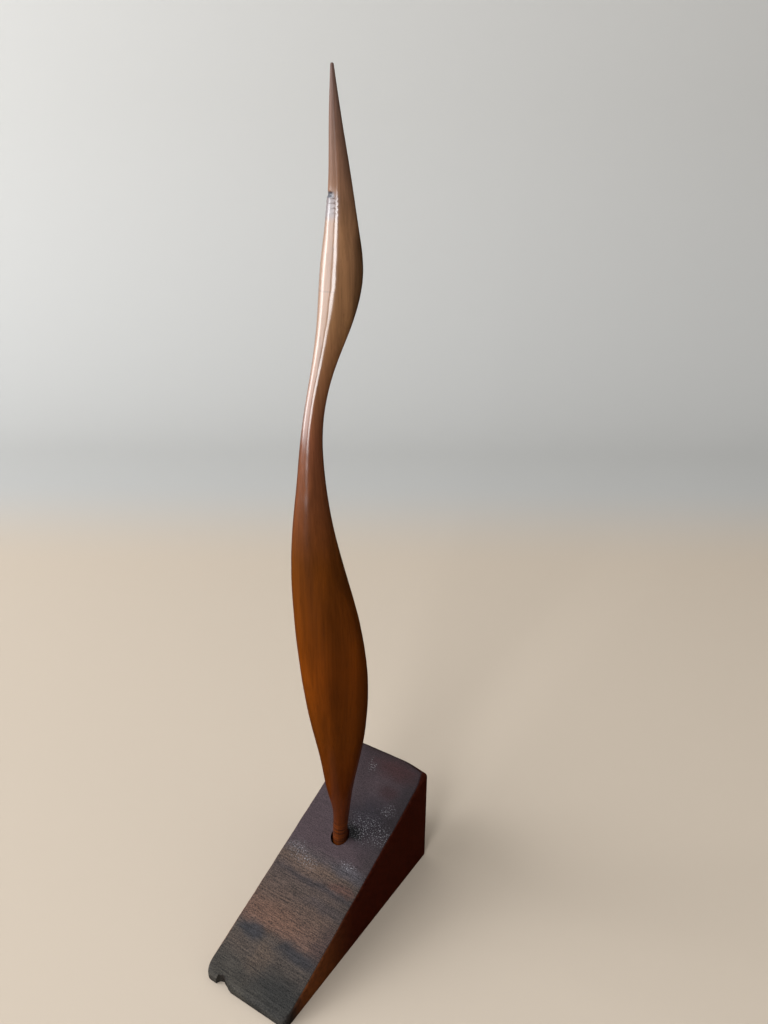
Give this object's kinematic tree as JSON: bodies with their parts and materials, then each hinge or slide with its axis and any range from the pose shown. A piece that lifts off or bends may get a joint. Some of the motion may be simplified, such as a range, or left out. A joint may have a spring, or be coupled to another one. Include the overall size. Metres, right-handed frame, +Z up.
{
  "type": "carved wooden bird on a wedge plinth",
  "caption": "Slim stylised wading bird carved in lacquered wood, beak pointing straight up, standing by a round peg in the sloping top of a hardwood wedge plinth.",
  "frame": {"origin": "middle of the plinth's underside, on the surface that the ornament stands on", "axes": "+Z up along the bird; the plinth's thin end points to -Y and its tall end to +Y; X runs across the plinth"},
  "size_m": [0.051, 0.1274, 0.402],
  "materials": {
    "bird_wood": "lacquered, glossy",
    "plinth_wood": "dark hardwood, worn matt top and semi-gloss sides"
  },
  "bodies": {
    "root": {"bird": "bird_wood", "plinth": "plinth_wood"}
  },
  "joints": []
}
